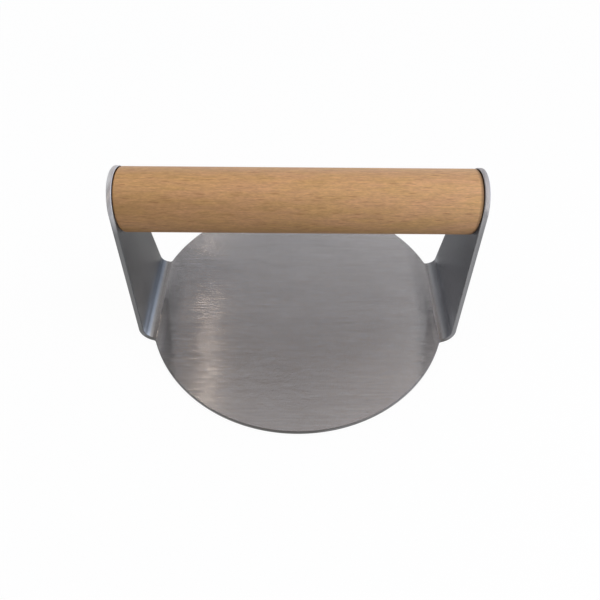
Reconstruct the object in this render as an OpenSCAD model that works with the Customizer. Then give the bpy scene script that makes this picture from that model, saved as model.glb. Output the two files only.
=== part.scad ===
// Round patty press: one bent steel plate whose two ears carry a turned wooden handle.
// Millimetres, +Z up. The origin is the centre of the pressing face and the handle lies along X.

/* [Plate] */
// Diameter of the pressing disc
disc_d = 140; // [120:1:180]
// Thickness of the steel sheet
sheet_t = 2; // [1.5:0.1:3]
// Inside radius of the bends that turn the ears up
bend_r = 5; // [3:0.5:7]
// Width of an ear where it leaves the disc
ear_root_w = 48.5; // [40:0.5:60]
// Radius of the fillet between an ear's edge and the disc's rim
root_fillet_r = 1.5; // [0.5:0.1:3]
// Steel left round the handle's end at an ear's tip
tip_margin = 0.3; // [0.1:0.1:4]

/* [Handle] */
// Diameter of the wooden handle
handle_d = 25.8; // [22:0.2:34]
// Length of the handle, which sets the gap between the ears
handle_len = 140; // [130:1:170]
// Height of the handle's axis above the pressing face
handle_z = 63.5; // [50:0.5:90]
// Radius that eases the edges of the handle's ends
handle_end_r = 1.2; // [0.4:0.1:3]

/* [Screws] */
// Thread diameter of the screws
screw_d = 6; // [4:0.5:8]
// Length of a screw under its head
screw_len = 16; // [10:1:24]
// Diameter of a screw's domed head
head_d = 10.5; // [9:0.5:14]
// Height of a screw's domed head
head_h = 3.3; // [2.5:0.1:4]
// Height of the upright rim below the dome
head_rim_h = 0.6; // [0.3:0.1:1]
// Width across the flats of the hexagon socket
socket_w = 4; // [3:0.5:5]
// Depth of the hexagon socket
socket_depth = 2; // [1.2:0.1:2.2]
// Flat land between the socket's corners and the dome
socket_land = 0.7; // [0.3:0.1:1]
// Chamfer at a screw's tip
screw_tip_chamfer = 0.8; // [0.3:0.1:1.5]

/* [Inserts] */
// Diameter of a threaded insert over its barbs
insert_d = 10; // [9.5:0.1:12]
// Length of a threaded insert
insert_len = 13; // [9:0.5:18]
// How far an insert sits below the handle's end
insert_recess = 0.3; // [0.1:0.1:1]
// Length of the plain collar at an insert's mouth
collar_len = 2; // [1:0.5:3]
// Depth of the barbs that grip the wood
barb_depth = 0.7; // [0.3:0.1:1]
// Number of barbs along an insert
barb_count = 5; // [3:1:8]

/* [Fits] */
// Radial gap round a screw in its ear
ear_hole_gap = 0.2; // [0.1:0.05:0.5]
// Radial gap between a screw and its insert, and between an insert and the wood
fit_gap = 0.05; // [0.02:0.01:0.1]
// Room in the wood past the deeper of a screw's tip and an insert's end
tip_room = 2; // [1:0.5:4]

/* [Hidden] */
$fn = 96;

disc_r = disc_d / 2;
handle_r = handle_d / 2;

// The handle's ends seat on the ears' inner faces.
ear_x = handle_len / 2;
bend_x = ear_x - bend_r;
bend_outer_r = bend_r + sheet_t;
tip_r = handle_r + tip_margin;
root_y = ear_root_w / 2;

// The root fillet is a circle that touches the disc's rim and the ear's edge.
fillet_y = root_y + root_fillet_r;
fillet_x = sqrt(pow(disc_r + root_fillet_r, 2) - pow(fillet_y, 2));
fillet_rim_touch = [fillet_x, fillet_y] * disc_r / (disc_r + root_fillet_r);

// The disc's rim may run into a bend, as far as halfway along its radius.
flat_x = min(fillet_x, bend_x + bend_r / 2);
flat_run_in = max(0, flat_x - bend_x);
flat_rise = bend_r - sqrt(pow(bend_r, 2) - pow(flat_run_in, 2));

// Past the flat, an ear's edges are straight and touch its round tip.
root_z = sheet_t + flat_rise;
root_to_tip = norm([root_y, handle_z - root_z]);
edge_len = sqrt(pow(root_to_tip, 2) - pow(tip_r, 2));
edge_angle = atan2(handle_z - root_z, -root_y) - asin(tip_r / root_to_tip);
tip_touch = [root_y, root_z] + edge_len * [cos(edge_angle), sin(edge_angle)];

screw_r = screw_d / 2;
head_r = head_d / 2;
socket_corner_r = socket_w / sqrt(3);
crown_r = socket_corner_r + socket_land;

// The dome is a ball on the screw's axis that passes the rim's top and the crown's edge.
crown_reach = norm([crown_r, head_h]);
rim_reach = norm([head_r, head_rim_h]);
dome_z = (pow(crown_reach, 2) - pow(rim_reach, 2)) / (2 * (head_h - head_rim_h));
dome_r = norm([head_r, head_rim_h - dome_z]);

insert_r = insert_d / 2;
barb_pitch = (insert_len - collar_len) / barb_count;
drill_r = screw_r + fit_gap;
drill_depth = max(screw_len - sheet_t, insert_recess + insert_len) + tip_room;
drill_point_angle = 118;
drill_point_h = drill_r / tan(drill_point_angle / 2);

// How far a cutting shape runs past the face that it cuts
overrun = 1;

// Turns a shape drawn along +Z to lie along +X, at the height of the handle's axis.
module along_handle(x) {
    translate([x, 0, handle_z])
        rotate([0, 90, 0])
            children();
}

// Cross-section of the space inside a sheet channel, across the handle's length and upwards.
module channel_space(half_w, corner_r, bottom_z, top_z) {
    corner_z = bottom_z + corner_r;
    for (side = [-1, 1])
        translate([side * (half_w - corner_r), corner_z])
            circle(corner_r);
    translate([corner_r - half_w, bottom_z])
        square([2 * (half_w - corner_r), top_z - bottom_z]);
    translate([-half_w, corner_z])
        square([2 * half_w, top_z - corner_z]);
}

// The sheet bent up at both sides, wider than the disc.
module bent_sheet() {
    top_z = handle_z + tip_r + overrun;
    sheet_w = disc_d + 2 * overrun;
    translate([0, sheet_w / 2, 0])
        rotate([90, 0, 0])
            linear_extrude(sheet_w)
                difference() {
                    channel_space(ear_x + sheet_t, bend_outer_r, 0, top_z);
                    channel_space(ear_x, bend_r, sheet_t, top_z + overrun);
                }
}

// One corner of the outline seen from above, filled up to the root fillet.
module root_corner() {
    difference() {
        polygon([fillet_rim_touch, [fillet_x, root_y], [fillet_x, 0], [bend_x / 2, 0]]);
        translate([fillet_x, fillet_y])
            circle(root_fillet_r);
    }
}

// The plate's outline seen from above, as a tall solid: the disc and the strip that holds the ears.
module plan_space() {
    strip_len = 2 * (ear_x + sheet_t + overrun);
    plan_h = handle_z + tip_r + 2 * overrun;
    translate([0, 0, -overrun]) {
        cylinder(r = disc_r, h = plan_h, $fn = 256);
        translate([-strip_len / 2, -root_y, 0])
            cube([strip_len, ear_root_w, plan_h]);
        for (side_x = [0, 1], side_y = [0, 1])
            mirror([side_x, 0, 0])
                mirror([0, side_y, 0])
                    linear_extrude(plan_h)
                        root_corner();
    }
}

// An ear's outline seen along the handle.
module ear_outline() {
    translate([0, handle_z])
        circle(tip_r);
    polygon([
        [root_y, -overrun],
        [root_y, root_z],
        tip_touch,
        [-tip_touch.x, tip_touch.y],
        [-root_y, root_z],
        [-root_y, -overrun],
    ]);
}

// Both ears' outline along the whole handle, and a slab that keeps the disc between the bends.
module ears_and_flat() {
    ears_len = 2 * (ear_x + sheet_t + overrun);
    flat_w = disc_d + 2 * overrun;
    rotate([90, 0, 90])
        translate([0, 0, -ears_len / 2])
            linear_extrude(ears_len)
                ear_outline();
    translate([-flat_x, -flat_w / 2, -overrun])
        cube([2 * flat_x, flat_w, overrun + sheet_t + bend_r]);
}

// The disc and its two ears, cut from one sheet and bent.
module press_plate() {
    hole_len = 2 * (ear_x + sheet_t + overrun);
    color("silver")
        difference() {
            intersection() {
                bent_sheet();
                plan_space();
                ears_and_flat();
            }
            along_handle(-hole_len / 2)
                cylinder(r = screw_r + ear_hole_gap, h = hole_len);
        }
}

// Outer profile of a barbed insert, from its mouth at height 0 down into the wood.
module insert_profile(extra) {
    outer = insert_r + extra;
    root = insert_r - barb_depth + extra;
    barbs = [
        for (i = [0 : barb_count - 1])
            let (top = -collar_len - i * barb_pitch)
                each [[outer, top], [root, top - barb_pitch]]
    ];
    polygon(concat([[0, 0], [outer, 0]], barbs, [[0, -insert_len]]));
}

// Half of the turned handle's profile, from its middle to one rounded end.
module handle_profile() {
    square([handle_r - handle_end_r, handle_len / 2]);
    square([handle_r, handle_len / 2 - handle_end_r]);
    translate([handle_r - handle_end_r, handle_len / 2 - handle_end_r])
        circle(handle_end_r);
}

// What is bored out of one end of the handle, with the end face at height 0.
module handle_bore() {
    translate([0, 0, -insert_recess])
        rotate_extrude()
            insert_profile(fit_gap);
    translate([0, 0, -insert_recess - overrun])
        cylinder(r = insert_r + fit_gap, h = insert_recess + 2 * overrun);
    translate([0, 0, -drill_depth])
        cylinder(r = drill_r, h = drill_depth);
    translate([0, 0, -drill_depth - drill_point_h])
        cylinder(r1 = 0, r2 = drill_r, h = drill_point_h);
}

// The turned wooden handle, bored at both ends for its inserts.
module handle() {
    color("burlywood")
        difference() {
            along_handle(0)
                for (side = [0, 1])
                    mirror([0, 0, side])
                        rotate_extrude()
                            handle_profile();
            for (side = [0, 1])
                mirror([side, 0, 0])
                    along_handle(ear_x)
                        handle_bore();
        }
}

// A barbed threaded insert, set into the right end of the handle.
module insert() {
    color("goldenrod")
        along_handle(ear_x - insert_recess)
            difference() {
                rotate_extrude()
                    insert_profile(0);
                translate([0, 0, -insert_len - overrun])
                    cylinder(r = screw_r + fit_gap, h = insert_len + 2 * overrun);
            }
}

// A screw with a domed head and a hexagon socket, under its head at height 0.
module screw_body() {
    rotate_extrude()
        intersection() {
            translate([0, dome_z])
                circle(dome_r);
            square([head_r, head_h]);
        }
    rotate_extrude()
        polygon([
            [0, 0],
            [screw_r, 0],
            [screw_r, screw_tip_chamfer - screw_len],
            [screw_r - screw_tip_chamfer, -screw_len],
            [0, -screw_len],
        ]);
}

// The screw that goes through the right ear into the insert.
module screw() {
    color("lightgray")
        along_handle(ear_x + sheet_t)
            difference() {
                screw_body();
                translate([0, 0, head_h - socket_depth])
                    cylinder(r = socket_corner_r, h = socket_depth + overrun, $fn = 6);
            }
}

module left_insert() {
    mirror([1, 0, 0])
        insert();
}

module right_insert() {
    insert();
}

module left_screw() {
    mirror([1, 0, 0])
        screw();
}

module right_screw() {
    screw();
}

press_plate();
handle();
left_insert();
right_insert();
left_screw();
right_screw();
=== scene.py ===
"""A patty press: one bent steel plate, a turned wooden handle and the fasteners that hold it.

The press stands on the floor at height 0 and its handle lies along X. Lengths are in metres.
"""

import logging
import math
from dataclasses import dataclass, field
from enum import Enum
from functools import partial, reduce

import bmesh
import bpy
from mathutils import Matrix, Vector

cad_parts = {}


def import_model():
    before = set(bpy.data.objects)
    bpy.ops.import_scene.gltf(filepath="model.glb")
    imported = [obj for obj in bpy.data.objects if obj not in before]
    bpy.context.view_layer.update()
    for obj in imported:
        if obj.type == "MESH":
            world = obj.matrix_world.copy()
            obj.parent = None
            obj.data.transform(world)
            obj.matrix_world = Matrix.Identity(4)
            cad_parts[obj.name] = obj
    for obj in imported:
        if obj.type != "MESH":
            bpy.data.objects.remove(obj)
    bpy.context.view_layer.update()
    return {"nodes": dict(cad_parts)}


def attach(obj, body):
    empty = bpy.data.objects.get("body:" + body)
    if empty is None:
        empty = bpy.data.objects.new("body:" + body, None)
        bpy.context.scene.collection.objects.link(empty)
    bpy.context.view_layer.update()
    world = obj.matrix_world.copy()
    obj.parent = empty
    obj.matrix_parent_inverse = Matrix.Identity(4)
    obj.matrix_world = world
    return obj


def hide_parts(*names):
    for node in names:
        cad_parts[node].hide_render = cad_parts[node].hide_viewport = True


Mesh = bmesh.types.BMesh
Vert = bmesh.types.BMVert
Material = bpy.types.Material
Object = bpy.types.Object
Socket = bpy.types.NodeSocket
Sockets = bpy.types.bpy_prop_collection
Colour = tuple[float, float, float]
Tints = tuple[Colour, Colour]
Point = tuple[float, float, float]
Span = tuple[float, float]
Line = tuple[Span, ...]

LOG = logging.getLogger("patty_press")
MM = 0.001
# Points nearer to each other than this are one.
WELD = 0.001 * MM
HANDLE_HEIGHT = 63.5 * MM
QUARTER_TURN = math.pi / 2
FULL_TURN = 2 * math.pi
# Edges that fold by more than this stay sharp on turned pieces.
SHARP_ANGLE = math.radians(35)
# A face of the flat blank is level when its normal points up or down by more than this.
LEVEL = 0.99
HEXAGON_SIDES = 6
X_AXIS = Vector((1, 0, 0))
Y_AXIS = Vector((0, 1, 0))
Z_AXIS = Vector((0, 0, 1))
WHITE = (1, 1, 1, 1)
RISING: Span = (0.0, 1.0)
FALLING: Span = (1.0, 0.0)
# The parts of a noise's range that most of its values lie in.
NOISE_CORE: Span = (0.35, 0.65)
NOISE_BODY: Span = (0.3, 0.7)
PATTERN_TURN: Point = (0.5, 0.4, 0.6)
# Names that the plate's mesh and its material share.
GRAIN_MAP = "Blank"
CUT_EDGE = "cut_edge"
INNER_REACH = "inner_reach"


class Side(Enum):
    """The two ends of the press along its handle."""

    LEFT = -1
    RIGHT = 1


@dataclass(frozen=True)
class Spots:
    """The size of a noise's spots along each axis in millimetres, and how many finer layers it has."""

    length: float
    width: float
    height: float = 1000
    detail: float = 1.0


def in_mm(*points: Span) -> Line:
    """Makes a line through points whose places, but not their heights, are in millimetres."""
    return tuple((place * MM, height) for place, height in points)


class Graph:
    """Adds nodes to a node tree and joins their sockets."""

    def __init__(self, tree: bpy.types.NodeTree) -> None:
        """Empties the tree that the nodes go into."""
        self.tree = tree
        tree.nodes.clear()

    def add(self, kind: str, inputs: dict | None = None, **settings: object) -> bpy.types.Node:
        """Adds one node.

        Args:
            kind: Blender's name of the node type.
            inputs: A value or a socket for each input, by the input's name or number.
            settings: The node's own properties.

        Returns:
            The new node.
        """
        node = self.tree.nodes.new(kind)
        for name, value in settings.items():
            setattr(node, name, value)
        for name, value in (inputs or {}).items():
            if isinstance(value, Socket):
                self.tree.links.new(value, node.inputs[name])
            else:
                node.inputs[name].default_value = value
        return node

    def own_place(self) -> Socket:
        """Finds the place in the piece's own coordinates."""
        return self.add("ShaderNodeTexCoord").outputs["Object"]

    def parts(self, vector: Socket) -> Sockets:
        """Splits a coordinate into its X, Y and Z."""
        return self.add("ShaderNodeSeparateXYZ", {"Vector": vector}).outputs

    def distance(self, vector: Socket) -> Socket:
        """Measures how far a coordinate is from the middle."""
        return self.add("ShaderNodeVectorMath", {0: vector}, operation="LENGTH").outputs["Value"]

    def stretched(self, vector: Socket, spots: Spots) -> Socket:
        """Scales a coordinate so that one unit of a pattern covers a spot.

        The scaled coordinate is turned, so that no line of the pattern's own grid shows across the grain.

        Args:
            vector: The coordinate in metres.
            spots: The spots' size.

        Returns:
            The scaled coordinate.
        """
        scale = tuple(1 / (size * MM) for size in (spots.length, spots.width, spots.height))
        inputs = {"Vector": vector, "Scale": scale, "Rotation": PATTERN_TURN}
        return self.add("ShaderNodeMapping", inputs).outputs["Vector"]

    def noise(self, vector: Socket, spots: Spots) -> Socket:
        """Makes noise with spots of a given size over a coordinate, about 0.5 on average."""
        inputs = {"Vector": self.stretched(vector, spots), "Scale": 1.0, "Detail": spots.detail}
        return self.add("ShaderNodeTexNoise", inputs).outputs["Fac"]

    def math(self, operation: str, first: object, second: object = 0.0) -> Socket:
        """Joins two numbers by one operation."""
        return self.add("ShaderNodeMath", {0: first, 1: second}, operation=operation).outputs[0]

    def product(self, *numbers: object) -> Socket:
        """Multiplies numbers."""
        return reduce(partial(self.math, "MULTIPLY"), numbers)

    def total(self, first: object, second: object) -> Socket:
        """Adds two numbers."""
        return self.math("ADD", first, second)

    def less(self, first: object, second: object) -> Socket:
        """Takes the second number from the first."""
        return self.math("SUBTRACT", first, second)

    def span(self, value: Socket, old: tuple, new: tuple = RISING) -> Socket:
        """Maps a number from its old range to a new one, held at its ends."""
        numbers = {
            "Value": value, "From Min": old[0], "From Max": old[1], "To Min": new[0], "To Max": new[1],
        }
        return self.add("ShaderNodeMapRange", numbers).outputs["Result"]

    def profile(self, value: Socket, points: Line) -> Socket:
        """Maps a number by a line drawn through points, held at its ends.

        Args:
            value: The number to map.
            points: The line's places and heights, in rising order.

        Returns:
            The line's height at the number.
        """
        height = points[0][1]
        for (start, low), (end, high) in zip(points, points[1:]):
            height = self.total(height, self.span(value, (start, end), (0.0, high - low)))
        return height

    def blend(self, share: object, first: object, second: object, how: str = "MIX") -> Socket:
        """Mixes two colours.

        Args:
            share: How much of the second colour is taken.
            first: The first colour, or its socket.
            second: The second colour, or its socket.
            how: Blender's name of the way they mix.

        Returns:
            The mixed colour.
        """
        first, second = (
            colour if isinstance(colour, Socket) else (*colour, 1) for colour in (first, second)
        )
        inputs = {0: share, 6: first, 7: second}
        return self.add("ShaderNodeMix", inputs, data_type="RGBA", blend_type=how).outputs[2]

    def times(self, colour: Socket, shade: Socket) -> Socket:
        """Darkens or lightens a colour by a number."""
        grey = self.add("ShaderNodeCombineColor", {"Red": shade, "Green": shade, "Blue": shade})
        return self.blend(1.0, colour, grey.outputs["Color"], "MULTIPLY")

    def raised(self, height: Socket, depth: float, strength: float) -> Socket:
        """Turns a pattern, whose 1 stands a given depth high, into a surface direction."""
        inputs = {"Height": height, "Distance": depth, "Strength": strength}
        return self.add("ShaderNodeBump", inputs).outputs["Normal"]

    def either(self, share: Socket, first: Socket, second: Socket) -> Socket:
        """Mixes two shaders by the share of the second."""
        return self.add("ShaderNodeMixShader", {0: share, 1: first, 2: second}).outputs["Shader"]

    def principled(self, inputs: dict) -> None:
        """Ends a material with its main shader, which gets the given inputs."""
        shader = self.add("ShaderNodeBsdfPrincipled", inputs)
        self.add("ShaderNodeOutputMaterial", {"Surface": shader.outputs["BSDF"]})


def new_material(name: str) -> tuple[Material, Graph]:
    """Makes an empty material.

    Args:
        name: The material's name.

    Returns:
        The material and the graph of its nodes.
    """
    material = bpy.data.materials.new(name)
    material.use_nodes = True
    return material, Graph(material.node_tree)


@dataclass(frozen=True)
class SheetPlace:
    """What the steel's material knows about a place on the plate.

    Attributes:
        graph: The material's graph.
        blank: The place on the flat blank.
        parts: The place's X, Y and Z on the finished plate.
        reach: The distance from the middle along the sheet's upper face.
        on_right: 1 on the right half and 0 on the left.
    """

    graph: Graph
    blank: Socket
    parts: Sockets
    reach: Socket
    on_right: Socket

    def by_side(self, lines: tuple[Line, Line]) -> Socket:
        """Finds a number by its line across the left bend or the right one."""
        left, right = (self.graph.profile(self.reach, points) for points in lines)
        return self.graph.total(left, self.graph.product(self.on_right, self.graph.less(right, left)))


@dataclass(frozen=True)
class PaintedPatch:
    """A place by a bend where light and shade are painted on the sheet, with its extent across the bend and
    its tone along it.
    """

    side: Side
    across: Line
    along: Line

    def shade(self, place: SheetPlace) -> Socket:
        """Finds the share of the sheet's tone, 1 outside the patch.

        Args:
            place: The place on the plate.

        Returns:
            The share.
        """
        graph = place.graph
        here = graph.math("GREATER_THAN", graph.product(place.parts["X"], self.side.value))
        here = graph.product(here, graph.profile(place.reach, self.across))
        extra = graph.less(graph.profile(place.parts["Y"], self.along), 1.0)
        return graph.total(graph.product(here, extra), 1.0)


@dataclass(frozen=True)
class Grooves:
    """One kind of brush groove: its size, how often its pattern folds, and how far it leans."""

    spots: Spots
    folds: float
    tilt: float

    def pattern(self, graph: Graph, blank: Socket) -> Socket:
        """Folds a noise to and fro, which spreads it evenly from -0.5 to 0.5."""
        steep = graph.product(graph.noise(blank, self.spots), self.folds)
        return graph.less(graph.math("PINGPONG", steep, 1.0), 0.5)


@dataclass(frozen=True)
class BrushedSteel:
    """Stainless sheet, brushed in straight lines along the blank.

    A pair of tints or of lines is for the left half and the right half.
    """

    name: str = "plate_steel"
    tint: Colour = (0.428, 0.42, 0.423)
    dull_tint: Colour = (0.386, 0.378, 0.382)
    dull_levels: Span = (0.37, 0.63)
    dull_lines: float = 0.6
    dull_clouds: float = 0.4
    speck_tint: Colour = (0.22, 0.215, 0.22)
    speck_levels: Span = (0.725, 0.785)
    speck_share: float = 0.5
    # Painted shade: the disc's middle is darker under the handle.
    middle_shade_reach: Span = (40 * MM, 68 * MM)
    middle_shade_share: Span = (0.84, 1.0)
    # Painted reflection and highlight on the cut edges: a dark low rim on the disc, edges darker on the
    # left, and brighter tips.
    rim_dark_reflection_tint: Colour = (0.16, 0.155, 0.15)
    rim_reflection_height: Span = (1.7 * MM, 3.5 * MM)
    edge_reflection_tints: Tints = ((0.19, 0.19, 0.19), (0.31, 0.31, 0.32))
    tip_highlight_height: Span = (58 * MM, 71 * MM)
    tip_highlight_tints: Tints = ((0.67, 0.66, 0.67), (0.475, 0.465, 0.475))
    # Painted light and shade on the ears' inner faces: a cooler right ear, lighter near the bend, darker
    # towards the tips and the back edges.
    ear_light_tints: Tints = ((0.965, 0.985, 0.945), (0.93, 0.975, 1.03))
    ear_shade_height: Span = (12 * MM, 48 * MM)
    ear_shade_share: Span = (1.15, 0.63)
    ear_back_shade_reach: Span = (4 * MM, 20 * MM)
    ear_back_shade_share: float = 0.62
    bend_span: Span = (65 * MM, 74.4 * MM)
    # Painted highlights and painted shade across each bend, left and right.
    bend_light_and_shade: tuple[Line, Line] = (
        in_mm(
            (63, 1), (64.8, 0.97), (66, 0.69), (67, 0.8), (68.5, 0.98), (70, 0.69), (71, 0.6), (72, 0.96),
            (73, 1.1), (74.4, 1.05), (76, 0.97), (80, 1.03), (86, 1),
        ),
        in_mm(
            (63, 1), (65.2, 0.78), (66.2, 0.83), (67.2, 0.8), (68.5, 0.66), (70.6, 0.62), (73, 1.4),
            (74, 1.45), (75.5, 1.25), (78, 1.08), (84, 1),
        ),
    )
    bend_leans: tuple[Line, Line] = (
        in_mm((57, 0), (62, -0.004), (63.3, 0), (65, 0.045), (67, 0)),
        in_mm((57, 0), (62.5, -0.02), (64.8, -0.075), (67, 0)),
    )
    # Painted highlights and painted shade by the bends, such as the bright strip at the front of the left
    # bend.
    painted_light_patches: tuple[PaintedPatch, ...] = (
        PaintedPatch(
            Side.LEFT, in_mm((66, 0), (69, 1), (73.5, 1), (76, 0)),
            in_mm((-24, 1.6), (-20, 1.06), (-10, 0.91), (2, 0.73), (12, 0.68), (24, 0.78)),
        ),
        PaintedPatch(
            Side.LEFT, in_mm((56, 0), (59.5, -0.15), (61, 0), (62.5, 0.8), (64.6, 1), (65.6, 0)),
            in_mm((-24, 1.4), (-8, 1.3), (0, 1)),
        ),
        PaintedPatch(
            Side.LEFT, in_mm((55, 0), (59, 0.8), (61.5, 1), (63, 0.9), (64, 0)),
            in_mm((-12, 1), (-6, 0.8), (-1.5, 0.8), (4, 0.85), (10, 0.89), (17, 0.96)),
        ),
        PaintedPatch(
            Side.LEFT, in_mm((73, 0), (75, 1), (80, 1), (88, 0)),
            in_mm((-24, 0.84), (-10, 0.86), (0, 1)),
        ),
        PaintedPatch(
            Side.RIGHT, in_mm((62.5, 0), (64.3, 1), (65.1, 1), (65.7, 0)),
            in_mm((-24, 1.6), (-10, 1.5), (0, 1)),
        ),
        PaintedPatch(
            Side.RIGHT, in_mm((67, 0), (69, 0.5), (72, 1), (76, 1), (80, 0)),
            in_mm((-12, 0.9), (-4, 0.95), (3, 1.08), (12, 1.15), (20, 1.35)),
        ),
        PaintedPatch(
            Side.RIGHT, in_mm((57, 0), (60, 0.6), (62, 1), (63.4, 1), (64.8, 0)),
            in_mm((-13, 1), (-9, 0.85), (-5.5, 0.72), (-1, 0.82), (6, 0.92), (13, 0.84)),
        ),
    )
    brushing: Spots = Spots(38, 0.4, detail=3.0)
    cloud: Spots = Spots(46, 15, detail=2.0)
    speck: Spots = Spots(1.9, 1.1)
    hairlines: Grooves = Grooves(Spots(19, 0.026), folds=7.0, tilt=2.6)
    dashes: Grooves = Grooves(Spots(12, 0.06), folds=5.0, tilt=0.2)
    sway: Grooves = Grooves(Spots(16, 0.95), folds=3.0, tilt=0.022)
    calm_start: Span = (0.0, 0.15)
    roughness: Span = (0.19, 0.21)
    ear_roughness: float = 0.15
    ear_roughness_start: Span = (0.0, 0.4)
    edge_roughness: float = 0.2
    stretch: float = 1.0
    stretch_turn: float = 0.25

    def make(self) -> Material:
        """Builds the material on the blank's own map.

        Returns:
            The material.
        """
        material, graph = new_material(self.name)
        blank = graph.add("ShaderNodeUVMap", uv_map=GRAIN_MAP).outputs["UV"]
        grain = graph.add("ShaderNodeTangent", direction_type="UV_MAP", uv_map=GRAIN_MAP).outputs[0]
        parts = graph.parts(graph.own_place())
        on_right = graph.math("GREATER_THAN", parts["X"])
        reach, edge = (
            graph.add("ShaderNodeAttribute", attribute_name=name).outputs["Fac"]
            for name in (INNER_REACH, CUT_EDGE)
        )
        place = SheetPlace(graph, blank, parts, reach, on_right)
        ear = graph.span(reach, self.bend_span)
        lines = graph.noise(blank, self.brushing)
        # Painted light and shade across and along the bends.
        tone = graph.times(self.sheet_tone(place, lines), place.by_side(self.bend_light_and_shade))
        # Painted highlights and shade by the bends.
        for patch in self.painted_light_patches:
            tone = graph.times(tone, patch.shade(place))
        tone = graph.blend(ear, tone, self.ear_tone(place, tone))
        tone = graph.blend(edge, tone, self.edge_tone(place))
        matt = graph.total(
            graph.span(ear, self.ear_roughness_start, (0.0, self.ear_roughness)),
            graph.product(edge, self.edge_roughness),
        )
        calm = graph.math("MAXIMUM", edge, graph.span(ear, self.calm_start))
        graph.principled({
            "Base Color": tone,
            "Metallic": 1.0,
            "Roughness": graph.total(graph.span(lines, NOISE_CORE, self.roughness), matt),
            "Anisotropic": self.stretch,
            "Anisotropic Rotation": self.stretch_turn,
            "Tangent": grain,
            "Normal": self.grooved(place, calm),
        })
        return material

    def sheet_tone(self, place: SheetPlace, lines: Socket) -> Socket:
        """Colours the brushed sheet, which is duller in some lines and clouds, with painted shade in the
        disc's middle under the handle.

        Args:
            place: The place on the plate.
            lines: The pattern of the brush lines.

        Returns:
            The colour.
        """
        graph, blank = place.graph, place.blank
        clouds = graph.product(graph.noise(blank, self.cloud), self.dull_clouds)
        bright = graph.total(graph.product(lines, self.dull_lines), clouds)
        tone = graph.blend(graph.span(bright, self.dull_levels, FALLING), self.tint, self.dull_tint)
        specks = graph.span(graph.noise(blank, self.speck), self.speck_levels, (0.0, self.speck_share))
        tone = graph.blend(specks, tone, self.speck_tint)
        # Painted shade in the disc's middle, under the handle.
        return graph.times(tone, graph.span(graph.distance(blank), self.middle_shade_reach, self.middle_shade_share))

    def ear_tone(self, place: SheetPlace, tone: Socket) -> Socket:
        """Paints light and shade on the ears' inner faces: lighter low down, darker towards their tips and
        their back edges, and a cooler right ear.

        Args:
            place: The place on the plate.
            tone: The sheet's colour.

        Returns:
            The colour.
        """
        graph = place.graph
        upward = graph.span(place.parts["Z"], self.ear_shade_height, self.ear_shade_share)
        backward = graph.span(place.parts["Y"], self.ear_back_shade_reach, (1.0, self.ear_back_shade_share))
        shaded = graph.times(tone, graph.product(upward, backward))
        return graph.blend(1.0, shaded, graph.blend(place.on_right, *self.ear_light_tints), "MULTIPLY")

    def edge_tone(self, place: SheetPlace) -> Socket:
        """Paints light on the cut edges: a painted dark reflection round the disc, grey up the ears with
        each side lit differently, and painted highlights on their tips.

        Args:
            place: The place on the plate.

        Returns:
            The colour.
        """
        graph, height = place.graph, place.parts["Z"]
        # Painted reflection and highlight: each side's edge is lit differently, and brighter towards the
        # tips.
        cut, tip = (graph.blend(place.on_right, *tints) for tints in (self.edge_reflection_tints, self.tip_highlight_tints))
        cut = graph.blend(graph.span(height, self.tip_highlight_height), cut, tip)
        return graph.blend(graph.span(height, self.rim_reflection_height), self.rim_dark_reflection_tint, cut)

    def grooved(self, place: SheetPlace, calm: Socket) -> Socket:
        """Leans the surface to the sides of its brush grooves, which run along X and up the ears.

        The sheet also leans along X where it starts to bend.

        Args:
            place: The place on the plate.
            calm: 1 on the ears and the cut edges, which have no grooves.

        Returns:
            The surface direction.
        """
        graph = place.graph
        kinds = (self.hairlines, self.dashes, self.sway)
        fine, broad, sway = (kind.pattern(graph, place.blank) for kind in kinds)
        steep = graph.product(fine, graph.math("ABSOLUTE", fine), self.hairlines.tilt)
        share = graph.less(1.0, calm)
        lean = graph.product(graph.total(steep, graph.product(broad, self.dashes.tilt)), share)
        sway = graph.product(sway, self.sway.tilt, share)
        sway = graph.total(sway, place.by_side(self.bend_leans))
        across = graph.add("ShaderNodeCombineXYZ", {"X": sway, "Y": lean}).outputs["Vector"]
        smooth = graph.add("ShaderNodeNewGeometry").outputs["Normal"]
        return graph.add("ShaderNodeVectorMath", {0: smooth, 1: across}, operation="ADD").outputs["Vector"]


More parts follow.
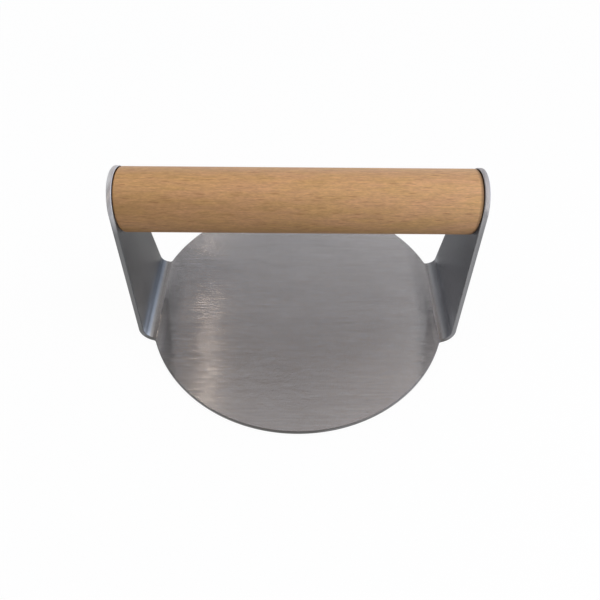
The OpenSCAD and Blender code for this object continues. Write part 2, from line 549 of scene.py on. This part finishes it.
@dataclass(frozen=True)
class OiledBeech:
    """Pale pinkish-brown hardwood with fine lengthwise grain and short dark flecks."""

    name: str = "handle_wood"
    tint: Colour = (0.585, 0.333, 0.142)
    tint_share: float = 0.5
    rosy_tint: Colour = (0.62, 0.333, 0.166)
    yellow_tint: Colour = (0.575, 0.333, 0.12)
    fleck_tint: Colour = (0.35, 0.16, 0.066)
    fleck_share: float = 0.65
    fleck_choice: Span = (0.4, 0.9)
    fleck_edge: Span = (0.14, 0.40)
    # Painted light: a warm cast on the left and a cooler, paler cast on the right, as the wood is lit.
    painted_light_casts: Tints = ((1.0, 0.965, 0.93), (1.0, 1.02, 1.12))
    line: Spots = Spots(14, 0.4, 0.4, detail=3.0)
    line_share: Span = (0.92, 1.08)
    band: Spots = Spots(17, 3.4, 3.4, detail=2.0)
    mottle: Spots = Spots(4.5, 0.9, 0.9, detail=3.0)
    mottle_share: Span = (0.90, 1.10)
    pore: Spots = Spots(1.5, 0.35, 0.35)
    pore_share: Span = (0.91, 1.09)
    fleck: Spots = Spots(5.5, 0.85, 0.85)
    length: Span = (-70 * MM, 70 * MM)
    # Painted light and shade: lighter to the right, a lit band along the front, darker towards the back, and
    # a painted shadow at the right end where the wood meets the ear.
    right_light_share: Span = (0.90, 1.02)
    lit_band_share: Span = (-0.17, 0.12)
    lit_band: Line = in_mm((60, 0), (70, 1), (76, 0))
    painted_shade_by_depth: Line = in_mm(
        (-12.6, 0.97), (-11.6, 0.965), (-9, 1.03), (-6.4, 1.08), (-4, 1.07), (-1.5, 1.03), (0.2, 0.98),
        (2.6, 0.92), (9, 0.88),
    )
    end_shadow_place: Span = (68.3 * MM, 69.2 * MM)
    end_shadow_share: float = 0.45
    roughness: Span = (0.46, 0.58)
    sheen: float = 0.35
    grain_depth: float = 0.03 * MM
    grain_strength: float = 0.35

    def make(self) -> Material:
        """Builds the material on the handle's own coordinates.

        Returns:
            The material.
        """
        material, graph = new_material(self.name)
        place = graph.own_place()
        parts = graph.parts(place)
        lines, bands, mottle, pores = (
            graph.noise(place, spots) for spots in (self.line, self.band, self.mottle, self.pore)
        )
        wood = graph.blend(graph.span(bands, NOISE_CORE), self.yellow_tint, self.rosy_tint)
        wood = graph.blend(self.tint_share, wood, self.tint)
        shade = self.broad_shade(graph, parts)
        shares = ((lines, self.line_share), (mottle, self.mottle_share), (pores, self.pore_share))
        for pattern, share in shares:
            shade = graph.product(shade, graph.span(pattern, NOISE_BODY, share))
        # Painted light cast, warm on the left and cool on the right.
        light_cast = graph.blend(graph.span(parts["X"], self.length), *self.painted_light_casts)
        wood = graph.blend(1.0, graph.times(wood, shade), light_cast, "MULTIPLY")
        flecks = self.flecks(graph, place)
        wood = graph.blend(graph.product(flecks, self.fleck_share), wood, self.fleck_tint)
        graph.principled({
            "Base Color": wood,
            "Roughness": graph.span(lines, NOISE_BODY, self.roughness),
            "Specular IOR Level": self.sheen,
            "Normal": graph.raised(graph.less(lines, flecks), self.grain_depth, self.grain_strength),
        })
        return material

    def broad_shade(self, graph: Graph, parts: Sockets) -> Socket:
        """Paints light and shade on the wood: paler to the right, most in a band along its front, lighter at
        its front than its back, and a painted shadow at its right end.

        Args:
            graph: The material's graph.
            parts: The place's X, Y and Z.

        Returns:
            The share of the wood's colour that is left.
        """
        lit_band = graph.profile(parts["Z"], self.lit_band)
        lit_band = graph.product(lit_band, graph.span(parts["X"], self.length, self.lit_band_share))
        pale = graph.product(graph.span(parts["X"], self.length, self.right_light_share), graph.total(lit_band, 1.0))
        end = graph.span(parts["X"], self.end_shadow_place, (1.0, self.end_shadow_share))
        return graph.product(pale, graph.product(end, graph.profile(parts["Y"], self.painted_shade_by_depth)))

    def flecks(self, graph: Graph, place: Socket) -> Socket:
        """Marks the short spindle-shaped flecks.

        Args:
            graph: The material's graph.
            place: The handle's coordinates.

        Returns:
            1 inside a fleck and 0 outside.
        """
        inputs = {"Vector": graph.stretched(place, self.fleck), "Scale": 1.0, "Randomness": 1.0}
        cells = graph.add("ShaderNodeTexVoronoi", inputs).outputs
        chosen = graph.add("ShaderNodeSeparateColor", {"Color": cells["Color"]}).outputs["Red"]
        chosen = graph.span(chosen, self.fleck_choice)
        return graph.product(graph.span(cells["Distance"], self.fleck_edge, FALLING), chosen)


@dataclass(frozen=True)
class TurnedMetal:
    """Metal turned on a lathe along X, with fine rings round the handle's axis.

    On a piece with a socket, shade is painted inside the socket, whose reach is from its bottom to its
    mouth, away from the middle.
    """

    name: str
    tint: Colour
    dull_tint: Colour
    socket_reach: Span | None = None
    socket_radius: float = 2.35 * MM
    socket_shade_share: Span = (0.12, 0.4)
    stain: Spots = Spots(2, 2, 2, detail=2.0)
    stain_levels: Span = (0.35, 0.7)
    ring: Spots = Spots(0.12, 3, 3, detail=2.0)
    ring_depth: float = 0.01 * MM
    ring_strength: float = 0.3
    roughness: Span = (0.28, 0.40)

    def make(self) -> Material:
        """Builds the material on the piece's own coordinates.

        Returns:
            The material.
        """
        material, graph = new_material(self.name)
        place = graph.own_place()
        rings = graph.noise(place, self.ring)
        stain = graph.span(graph.noise(place, self.stain), self.stain_levels)
        tone = graph.blend(stain, self.tint, self.dull_tint)
        # Painted shade inside the screw's socket.
        if self.socket_reach:
            tone = graph.times(tone, self.socket_shade(graph, graph.parts(place)))
        graph.principled({
            "Base Color": tone,
            "Metallic": 1.0,
            "Roughness": graph.span(rings, NOISE_BODY, self.roughness),
            "Normal": graph.raised(rings, self.ring_depth, self.ring_strength),
        })
        return material

    def socket_shade(self, graph: Graph, parts: Sockets) -> Socket:
        """Paints shade inside a screw's socket, darkest at its bottom.

        Args:
            graph: The material's graph.
            parts: The place's X, Y and Z.

        Returns:
            The share of the metal's tone, 1 outside the socket.
        """
        bottom, mouth = self.socket_reach
        reach = graph.math("ABSOLUTE", parts["X"])
        up = graph.less(parts["Z"], HANDLE_HEIGHT)
        square = graph.total(graph.math("POWER", parts["Y"], 2.0), graph.math("POWER", up, 2.0))
        inside = graph.product(
            graph.math("LESS_THAN", square, self.socket_radius ** 2),
            graph.math("LESS_THAN", reach, mouth),
            graph.math("GREATER_THAN", reach, bottom),
        )
        loss = graph.less(1.0, graph.span(reach, self.socket_reach, self.socket_shade_share))
        return graph.less(1.0, graph.product(inside, loss))


def everything(bm: Mesh) -> list:
    """Lists a mesh's vertices, edges and faces."""
    return bm.verts[:] + bm.edges[:] + bm.faces[:]


def weld(bm: Mesh) -> None:
    """Joins a mesh's points that fall together, and turns its faces outwards."""
    bmesh.ops.remove_doubles(bm, verts=bm.verts[:], dist=WELD)
    bmesh.ops.recalc_face_normals(bm, faces=bm.faces[:])


def mirror(bm: Mesh, axes: str) -> None:
    """Adds a mesh's mirror image along each axis in turn.

    Args:
        bm: The mesh.
        axes: The axes' letters.
    """
    for axis in axes:
        bmesh.ops.mirror(bm, geom=everything(bm), matrix=Matrix(), merge_dist=WELD, axis=axis)
    weld(bm)


def extend(bm: Mesh, vert: Vert, place: Point) -> Vert:
    """Draws a straight line on from a vertex.

    Args:
        bm: The mesh that holds the vertex.
        vert: Where the line starts.
        place: Where it ends.

    Returns:
        The vertex at the line's end.
    """
    end = bmesh.ops.extrude_vert_indiv(bm, verts=[vert])["verts"][0]
    bmesh.ops.translate(bm, verts=[end], vec=Vector(place) - end.co)
    return end


def sweep(bm: Mesh, vert: Vert, centre: Point, axis: Vector, angle: float, steps: int) -> Vert:
    """Draws an arc of some steps on from a vertex, and returns the vertex at its end."""
    made = bmesh.ops.spin(bm, geom=[vert], cent=centre, axis=axis, angle=angle, steps=steps)
    return next(item for item in made["geom_last"] if isinstance(item, Vert))


def draw_corners(bm: Mesh, vert: Vert, corners: Line) -> Vert:
    """Draws a turned form's profile on from a vertex, above the handle's axis.

    Args:
        bm: The mesh that holds the vertex.
        vert: Where the profile goes on.
        corners: Each corner's place along X and its distance from the axis.

    Returns:
        The vertex at the last corner.
    """
    for x, radius in corners:
        vert = extend(bm, vert, (x, 0, HANDLE_HEIGHT + radius))
    return vert


def turn_on_handle(bm: Mesh, steps: int) -> None:
    """Turns the drawn profile once round the handle's axis, in a number of flat steps."""
    bmesh.ops.spin(
        bm, geom=bm.verts[:] + bm.edges[:], cent=(0, 0, HANDLE_HEIGHT), axis=X_AXIS, angle=FULL_TURN,
        steps=steps, use_merge=True,
    )
    weld(bm)


def show(name: str, data: bpy.types.ID) -> Object:
    """Puts an object into the scene.

    Args:
        name: The object's name.
        data: Its mesh, light or camera.

    Returns:
        The object.
    """
    shown = bpy.data.objects.new(name, data)
    bpy.context.scene.collection.objects.link(shown)
    return shown


def show_mesh(name: str, bm: Mesh, material: Material) -> Object:
    """Puts what was drawn into the scene, with one material.

    Args:
        name: The object's name.
        bm: What was drawn, which is freed.
        material: Its material.

    Returns:
        The object.
    """
    mesh = bpy.data.meshes.new(name)
    bm.to_mesh(mesh)
    bm.free()
    mesh.materials.append(material)
    return show(name, mesh)


def finish_piece(name: str, bm: Mesh, material: Material, node: str, turned: bool) -> None:
    """Makes a smooth piece that rides on the press and stands for a node of the frame.

    Args:
        name: The piece's name.
        bm: Its mesh, which is freed.
        material: Its material.
        node: The node that it replaces.
        turned: Whether it has folds that stay sharp.
    """
    piece = show_mesh(name, bm, material)
    piece.data.shade_smooth()
    if turned:
        piece.data.set_sharp_from_angle(angle=SHARP_ANGLE)
    weighted = piece.modifiers.new("Even shading", "WEIGHTED_NORMAL")
    weighted.keep_sharp = True
    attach(piece, "root")
    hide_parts(node)
    LOG.info("%s: %d faces", name, len(piece.data.polygons))


@dataclass
class PressPlate:
    """The pressing disc and its two ears, cut as one flat blank and bent."""

    finish: BrushedSteel
    disc_radius: float = 70 * MM
    thickness: float = 2 * MM
    bend_radius: float = 5 * MM
    ear_face: float = 70 * MM
    root_half_width: float = 24.25 * MM
    root_fillet: float = 1.5 * MM
    bend_half_width: float = 23.42 * MM
    tip_radius: float = 13.2 * MM
    hole_radius: float = 3.2 * MM
    edge_round: float = 0.35 * MM
    edge_steps: int = 3
    edge_slack: float = 0.2
    rim_steps: int = 72
    fillet_steps: int = 6
    tip_steps: int = 28
    hole_steps: int = 24
    bend_steps: int = 14
    map_length: float = 300 * MM
    map_middle: float = 0.5
    upper_level: float = 0.25
    under_level: float = 0.75
    wall_share: float = 0.5
    bm: Mesh = field(default_factory=bmesh.new, init=False)

    @property
    def bend_start(self) -> float:
        """Where the flat disc ends and a bend starts."""
        return self.ear_face - self.bend_radius

    @property
    def bend_outer(self) -> float:
        """The bends' outside radius, which is also the height where they end."""
        return self.bend_radius + self.thickness

    @property
    def bend_run(self) -> float:
        """The length of sheet that a bend takes up."""
        return (self.bend_radius + self.thickness / 2) * QUARTER_TURN

    @property
    def bend_end(self) -> float:
        """Where a bend ends on the flat blank."""
        return self.bend_start + self.bend_run

    @property
    def tip_place(self) -> float:
        """Where the centre of an ear's tip is on the flat blank."""
        return self.bend_end + HANDLE_HEIGHT - self.bend_outer

    def make(self) -> None:
        """Builds the plate and dresses it."""
        self.draw_quarter()
        self.cut_bend()
        self.thicken()
        self.round_edges()
        self.lay_out_maps()
        for vert in self.bm.verts:
            vert.co = self.bent(vert.co)
        bmesh.ops.recalc_face_normals(self.bm, faces=self.bm.faces[:])
        finish_piece("plate", self.bm, self.finish.make(), "press_plate", turned=False)

    def draw_quarter(self) -> None:
        """Draws one quarter of the flat blank: rim, root fillet, ear edge, tip and half a hole."""
        bm = self.bm
        fillet_y = self.root_half_width + self.root_fillet
        fillet_x = math.sqrt((self.disc_radius + self.root_fillet) ** 2 - fillet_y ** 2)
        rim_angle = math.atan2(fillet_x, fillet_y)
        tip = self.tip_place
        rise, run = self.bend_half_width, tip - self.bend_end
        tip_angle = math.atan2(rise, -run) - math.acos(self.tip_radius / math.hypot(rise, run))
        touch = (tip + self.tip_radius * math.cos(tip_angle), self.tip_radius * math.sin(tip_angle), 0)

        start = bm.verts.new((0, self.disc_radius, 0))
        vert = sweep(bm, start, (0, 0, 0), -Z_AXIS, rim_angle, self.rim_steps)
        vert = sweep(bm, vert, (fillet_x, fillet_y, 0), Z_AXIS, rim_angle, self.fillet_steps)
        vert = extend(bm, vert, (self.bend_end, self.bend_half_width, 0))
        vert = extend(bm, vert, touch)
        vert = sweep(bm, vert, (tip, 0, 0), -Z_AXIS, tip_angle, self.tip_steps)
        vert = extend(bm, vert, (tip + self.hole_radius, 0, 0))
        vert = sweep(bm, vert, (tip, 0, 0), Z_AXIS, math.pi, self.hole_steps)
        vert = extend(bm, vert, (0, 0, 0))
        bm.edges.new((vert, start))
        bmesh.ops.contextual_create(bm, geom=bm.edges[:])

    def cut_bend(self) -> None:
        """Cuts the quarter across the bend, so that the sheet can turn there, and mirrors it."""
        bm = self.bm
        for step in range(self.bend_steps + 1):
            place = self.bend_start + self.bend_run * step / self.bend_steps
            bmesh.ops.bisect_plane(
                bm, geom=everything(bm), dist=WELD, plane_co=(place, 0, 0), plane_no=X_AXIS
            )
        mirror(bm, "XY")

    def thicken(self) -> None:
        """Raises the blank to the sheet's thickness."""
        bm = self.bm
        made = bmesh.ops.extrude_face_region(bm, geom=bm.faces[:])["geom"]
        raised = [item for item in made if isinstance(item, Vert)]
        bmesh.ops.translate(bm, verts=raised, vec=Z_AXIS * self.thickness)
        bmesh.ops.recalc_face_normals(bm, faces=bm.faces[:])

    def round_edges(self) -> None:
        """Eases every cut edge of the blank."""
        bm = self.bm
        bm.normal_update()
        edges = [
            edge for edge in bm.edges
            if abs(edge.calc_face_angle(0) - QUARTER_TURN) < self.edge_slack
            and any(abs(face.normal.z) > LEVEL for face in edge.link_faces)
        ]
        bmesh.ops.bevel(
            bm, geom=edges, offset=self.edge_round, offset_type="OFFSET", affect="EDGES",
            segments=self.edge_steps, profile=0.5, material=-1, clamp_overlap=False,
        )
        bm.normal_update()

    def lay_out_maps(self) -> None:
        """Lays the flat blank out on two maps: one in metres for the grain, one for baking."""
        bm = self.bm
        blank = bm.loops.layers.uv.new(GRAIN_MAP)
        bake = bm.loops.layers.uv.new("OFBake")
        cut_edge = bm.faces.layers.float.new(CUT_EDGE)
        inner_reach = bm.verts.layers.float.new(INNER_REACH)
        for vert in bm.verts:
            if vert.co.z > self.thickness - WELD:
                vert[inner_reach] = abs(vert.co.x)
        for face in bm.faces:
            is_cut = abs(face.normal.z) < LEVEL
            face[cut_edge] = float(is_cut)
            level = self.under_level if face.normal.z < -LEVEL else self.upper_level
            for loop in face.loops:
                place = loop.vert.co.xy
                if is_cut:
                    outward = loop.vert.normal.xy.normalized()
                    place = place + outward * (self.thickness - loop.vert.co.z) * self.wall_share
                loop[blank].uv = place
                loop[bake].uv = (
                    self.map_middle + place.x / self.map_length, level + place.y / self.map_length
                )

    def bent(self, place: Vector) -> Vector:
        """Finds where a point of the flat blank goes when the ears are bent up.

        Args:
            place: The point on the flat blank.

        Returns:
            The same point on the finished plate.
        """
        past = abs(place.x) - self.bend_start
        if past <= 0:
            return place
        radius = self.bend_outer - place.z
        angle = QUARTER_TURN * min(past / self.bend_run, 1)
        reach = self.bend_start + radius * math.sin(angle)
        height = self.bend_outer - radius * math.cos(angle) + max(past - self.bend_run, 0)
        return Vector((math.copysign(reach, place.x), place.y, height))


@dataclass
class Handle:
    """The turned wooden bar, bored at both ends for its inserts."""

    finish: OiledBeech
    radius: float = 12.9 * MM
    length: float = 140 * MM
    end_round: float = 1.2 * MM
    end_steps: int = 6
    bore_radius: float = 5.05 * MM
    bore_depth: float = 13.35 * MM
    drill_radius: float = 3.05 * MM
    drill_depth: float = 16 * MM
    drill_point: float = 1.83 * MM
    turn_steps: int = 128

    def make(self) -> None:
        """Turns the handle and dresses it."""
        bm = bmesh.new()
        end = self.length / 2
        top = HANDLE_HEIGHT + self.radius
        bore_end = end - self.bore_depth
        drill_end = end - self.drill_depth
        vert = bm.verts.new((0, 0, top))
        vert = extend(bm, vert, (end - self.end_round, 0, top))
        centre = (end - self.end_round, 0, top - self.end_round)
        vert = sweep(bm, vert, centre, Y_AXIS, QUARTER_TURN, self.end_steps)
        draw_corners(bm, vert, (
            (end, self.bore_radius),
            (bore_end, self.bore_radius),
            (bore_end, self.drill_radius),
            (drill_end, self.drill_radius),
            (drill_end - self.drill_point, 0),
        ))
        turn_on_handle(bm, self.turn_steps)
        mirror(bm, "X")
        finish_piece("grip", bm, self.finish.make(), "handle", turned=True)


@dataclass
class HandleScrew:
    """A domed screw with a hexagon socket, through an ear into the handle."""

    side: Side
    seat: float = 72 * MM
    shank_radius: float = 3 * MM
    shank_length: float = 16 * MM
    tip_chamfer: float = 0.8 * MM
    head_radius: float = 5.25 * MM
    head_height: float = 3.3 * MM
    rim_reflection_height: float = 0.6 * MM
    crown_radius: float = 3.0094 * MM
    dome_steps: int = 10
    socket_radius: float = 2.3094 * MM
    socket_depth: float = 2 * MM
    turn_steps: int = 48

    def make(self, material: Material) -> None:
        """Turns the screw, sinks its socket and dresses it.

        Args:
            material: The screw's material.
        """
        bm = bmesh.new()
        tip = self.seat - self.shank_length
        vert = draw_corners(bm, bm.verts.new((tip, 0, HANDLE_HEIGHT)), (
            (tip, self.shank_radius - self.tip_chamfer),
            (tip + self.tip_chamfer, self.shank_radius),
            (self.seat, self.shank_radius),
            (self.seat, self.head_radius),
            (self.seat + self.rim_reflection_height, self.head_radius),
        ))
        self.draw_dome(bm, vert)
        turn_on_handle(bm, self.turn_steps)
        self.sink_socket(bm)
        if self.side is Side.LEFT:
            bmesh.ops.scale(bm, vec=(-1, 1, 1), verts=bm.verts[:])
        bmesh.ops.recalc_face_normals(bm, faces=bm.faces[:])
        node = f"{self.side.name.lower()}_screw"
        finish_piece(f"{node}_turned", bm, material, node, turned=True)

    def draw_dome(self, bm: Mesh, vert: Vert) -> None:
        """Draws the dome's arc from the rim's top to the crown's edge.

        Args:
            bm: The mesh that holds the screw's profile.
            vert: The vertex at the rim's top.
        """
        crown_reach = self.crown_radius ** 2 + self.head_height ** 2
        rim_reach = self.head_radius ** 2 + self.rim_reflection_height ** 2
        centre = (crown_reach - rim_reach) / (2 * (self.head_height - self.rim_reflection_height))
        low = math.atan2(self.rim_reflection_height - centre, self.head_radius)
        high = math.atan2(self.head_height - centre, self.crown_radius)
        sweep(bm, vert, (self.seat + centre, 0, HANDLE_HEIGHT), Y_AXIS, high - low, self.dome_steps)

    def sink_socket(self, bm: Mesh) -> None:
        """Closes the crown round a hexagon and sinks it into the head.

        The hexagon stands off the crown while the two are joined, so that both outlines run the same way.

        Args:
            bm: The mesh that holds the turned screw.
        """
        inward = -X_AXIS * self.socket_depth
        lip = [edge for edge in bm.edges if edge.is_boundary]
        place = Matrix.Translation((self.seat + self.head_height + self.socket_depth, 0, HANDLE_HEIGHT))
        place = place @ Matrix.Rotation(QUARTER_TURN, 4, "Y")
        hexagon = bmesh.ops.create_circle(
            bm, segments=HEXAGON_SIDES, radius=self.socket_radius, matrix=place
        )["verts"]
        sides = list({edge for vert in hexagon for edge in vert.link_edges})
        bmesh.ops.subdivide_edges(bm, edges=sides, cuts=self.turn_steps // HEXAGON_SIDES - 1)
        mouth = [edge for edge in bm.edges if edge.is_wire]
        bmesh.ops.bridge_loops(bm, edges=lip + mouth)
        corners = list({vert for edge in mouth for vert in edge.verts})
        bmesh.ops.translate(bm, verts=corners, vec=inward)
        made = bmesh.ops.extrude_edge_only(bm, edges=mouth)["geom"]
        floor = [item for item in made if isinstance(item, Vert)]
        bmesh.ops.translate(bm, verts=floor, vec=inward)
        rim = [item for item in made if isinstance(item, bmesh.types.BMEdge)]
        bottom = bmesh.ops.contextual_create(bm, geom=rim)["faces"]
        bmesh.ops.poke(bm, faces=bottom)


@dataclass(frozen=True)
class Lamp:
    """One soft lamp of the studio."""

    name: str
    place: Point
    aim: Point
    width: float
    depth: float
    power: float
    colour: Colour

    def hang(self) -> None:
        """Puts the lamp in its place, turned to what it lights."""
        data = bpy.data.lights.new(self.name, "AREA")
        data.shape = "RECTANGLE"
        data.size = self.width
        data.size_y = self.depth
        data.energy = self.power
        data.color = self.colour
        lamp = show(self.name, data)
        lamp.location = self.place
        lamp.rotation_euler = (Vector(self.aim) - Vector(self.place)).to_track_quat("-Z", "Y").to_euler()


@dataclass
class Studio:
    """The floor, the light and the camera."""

    floor_radius: float = 6.0
    floor_steps: int = 96
    floor_tint: Colour = (0.95, 0.95, 0.95)
    floor_span: Span = (0.30, 0.95)
    floor_glow: Span = (0.95, 1.0)
    bounce_tint: Colour = (0.22, 0.22, 0.22)
    sky_level: float = 0.568
    back_tint: Colour = (0.985, 1.0, 1.05)
    crown_tint: Colour = (1.0, 0.94, 0.915)
    crown_tint_height: Span = (0.5, 0.9)
    crown_shares: Span = (1.2, 1.42)
    crown_side: Span = (0.02, 0.16)
    crown_height: Span = (0.85, 0.96)
    window_tint: Colour = (0.7, 0.85, 1.15)
    window_glow: float = 1.2
    window_side: Span = (0.64, 0.78)
    window_depth: Span = (0.565, 0.65)
    window_depth_share: Span = (1.0, 0.05)
    strips: Line = (
        (-0.45, 0.80), (-0.30, 1.2), (-0.25, 0.58), (-0.19, 0.62), (-0.13, 0.94), (0.0, 0.99), (0.12, 1.05),
        (0.16, 1.03), (0.2, 0.95), (0.24, 0.88), (0.3, 0.84), (0.45, 0.74),
    )
    wall_glow: float = 0.9
    wall_height: Span = (0.3, 0.68)
    wall_reach: Span = (0.6, 0.92)
    eye: Point = (0.4 * MM, -162.3 * MM, 199.8 * MM)
    eye_elevation: float = math.radians(50.79)
    eye_turn: float = math.radians(-0.23)
    eye_roll: float = math.radians(0.58)
    eye_near: float = 0.01
    lens: float = 31.33
    sensor: float = 36.0
    lamps: tuple[Lamp, ...] = (
        Lamp(
            "right_lamp", place=(0.38, 0.0, 0.5), aim=(0, 0, 0.05),
            width=0.3, depth=0.3, power=0.5, colour=(1.0, 0.98, 0.97),
        ),
        Lamp(
            "left_lamp", place=(-0.38, 0.0, 0.5), aim=(0, 0, 0.05),
            width=0.3, depth=0.3, power=0.47, colour=(0.90, 0.97, 1.0),
        ),
        Lamp(
            "front_lamp", place=(0.24, -0.24, 0.08), aim=(0, 0, 0.06),
            width=0.1, depth=0.1, power=0.14, colour=(1.0, 0.98, 0.95),
        ),
        Lamp(
            "top_lamp", place=(0.35, -0.35, 0.8), aim=(0, 0, 0.05),
            width=0.25, depth=0.25, power=0.45, colour=(1.0, 0.99, 1.0),
        ),
        Lamp(
            "ceiling_tube", place=(-0.375, -0.665, 1.86), aim=(-0.375, -0.665, 0),
            width=0.03, depth=0.7, power=1.4, colour=(1.0, 0.84, 0.68),
        ),
    )

    def make(self) -> None:
        """Builds the floor, the sky, the lamps and the camera."""
        bpy.context.scene.view_settings.view_transform = "Standard"
        self.lay_floor()
        self.light_sky()
        for lamp in self.lamps:
            lamp.hang()
        self.place_camera()

    def lay_floor(self) -> None:
        """Lays a round pale floor that is evenly white far from the press."""
        bm = bmesh.new()
        bmesh.ops.create_circle(bm, cap_ends=True, segments=self.floor_steps, radius=self.floor_radius)
        floor = show_mesh("floor", bm, self.floor_paper())

    def floor_paper(self) -> Material:
        """Makes the floor's material, which shows and reflects pale but lights the press little.

        Returns:
            The material.
        """
        material, graph = new_material("floor_paper")
        paper, bounce = (
            graph.add("ShaderNodeBsdfDiffuse", {"Color": (*tint, 1)}).outputs["BSDF"]
            for tint in (self.floor_tint, self.bounce_tint)
        )
        glow = graph.add("ShaderNodeEmission", {"Color": WHITE, "Strength": 1.0}).outputs["Emission"]
        far = graph.span(graph.distance(graph.own_place()), self.floor_span, self.floor_glow)
        path = graph.add("ShaderNodeLightPath").outputs
        seen = graph.math("MAXIMUM", path["Is Camera Ray"], path["Is Glossy Ray"])
        seen = graph.math("MAXIMUM", seen, path["Is Transmission Ray"])
        surface = graph.either(seen, bounce, graph.either(far, paper, glow))
        graph.add("ShaderNodeOutputMaterial", {"Surface": surface})
        return material

    def light_sky(self) -> None:
        """Lights by a grey sky of upright strips, brighter overhead and behind, which itself shows white."""
        world = bpy.data.worlds.new("studio")
        world.use_nodes = True
        bpy.context.scene.world = world
        graph = Graph(world.node_tree)
        parts = graph.parts(graph.add("ShaderNodeTexCoord").outputs["Generated"])
        crown_levels = tuple(self.sky_level * share for share in self.crown_shares)
        top = graph.span(parts["X"], self.crown_side, crown_levels)
        crown = graph.span(parts["Z"], self.crown_height, (self.sky_level, top))
        wall = graph.product(
            graph.span(parts["Z"], self.wall_height, (self.wall_glow, 0.0)),
            graph.span(parts["Y"], self.wall_reach),
        )
        window = graph.product(
            graph.span(parts["X"], self.window_side),
            graph.span(parts["Y"], self.window_depth, self.window_depth_share),
        )
        level = graph.total(graph.product(crown, graph.profile(parts["X"], self.strips)), wall)
        level = graph.total(level, graph.product(window, self.window_glow))
        high = graph.span(parts["Z"], self.crown_tint_height)
        tint = graph.blend(window, graph.blend(high, self.back_tint, self.crown_tint), self.window_tint)
        sky, plain = (
            graph.add("ShaderNodeBackground", {"Color": colour, "Strength": strength}).outputs["Background"]
            for colour, strength in ((tint, level), (WHITE, 1.0))
        )
        straight = graph.add("ShaderNodeLightPath").outputs["Is Camera Ray"]
        graph.add("ShaderNodeOutputWorld", {"Surface": graph.either(straight, sky, plain)})

    def place_camera(self) -> None:
        """Puts the camera where the photograph was taken from."""
        data = bpy.data.cameras.new("camera")
        data.sensor_fit = "HORIZONTAL"
        data.sensor_width = self.sensor
        data.lens = self.lens
        data.clip_start = self.eye_near
        camera = show("camera", data)
        turn = Matrix.Rotation(self.eye_turn, 4, "Z")
        tilt = Matrix.Rotation(QUARTER_TURN - self.eye_elevation, 4, "X")
        roll = Matrix.Rotation(self.eye_roll, 4, "Z")
        camera.matrix_world = Matrix.Translation(self.eye) @ turn @ tilt @ roll
        bpy.context.scene.camera = camera


def main() -> None:
    """Builds the press in its studio."""
    logging.basicConfig(level=logging.INFO, format="%(name)s: %(message)s")
    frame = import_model()
    Studio().make()
    PressPlate(BrushedSteel()).make()
    Handle(OiledBeech()).make()
    steel = TurnedMetal(
        "screw_steel", tint=(0.62, 0.62, 0.62), dull_tint=(0.5, 0.5, 0.5),
        socket_reach=(73.2 * MM, 75.27 * MM),
    ).make()
    brass = TurnedMetal("insert_brass", tint=(0.62, 0.42, 0.14), dull_tint=(0.45, 0.29, 0.09)).make()
    for side in Side:
        HandleScrew(side).make(steel)
        insert = frame["nodes"][f"{side.name.lower()}_insert"]
        insert.data.materials.clear()
        insert.data.materials.append(brass)
        LOG.info("%s keeps its packed shape", insert.name)


if __name__ == "__main__":
    main()
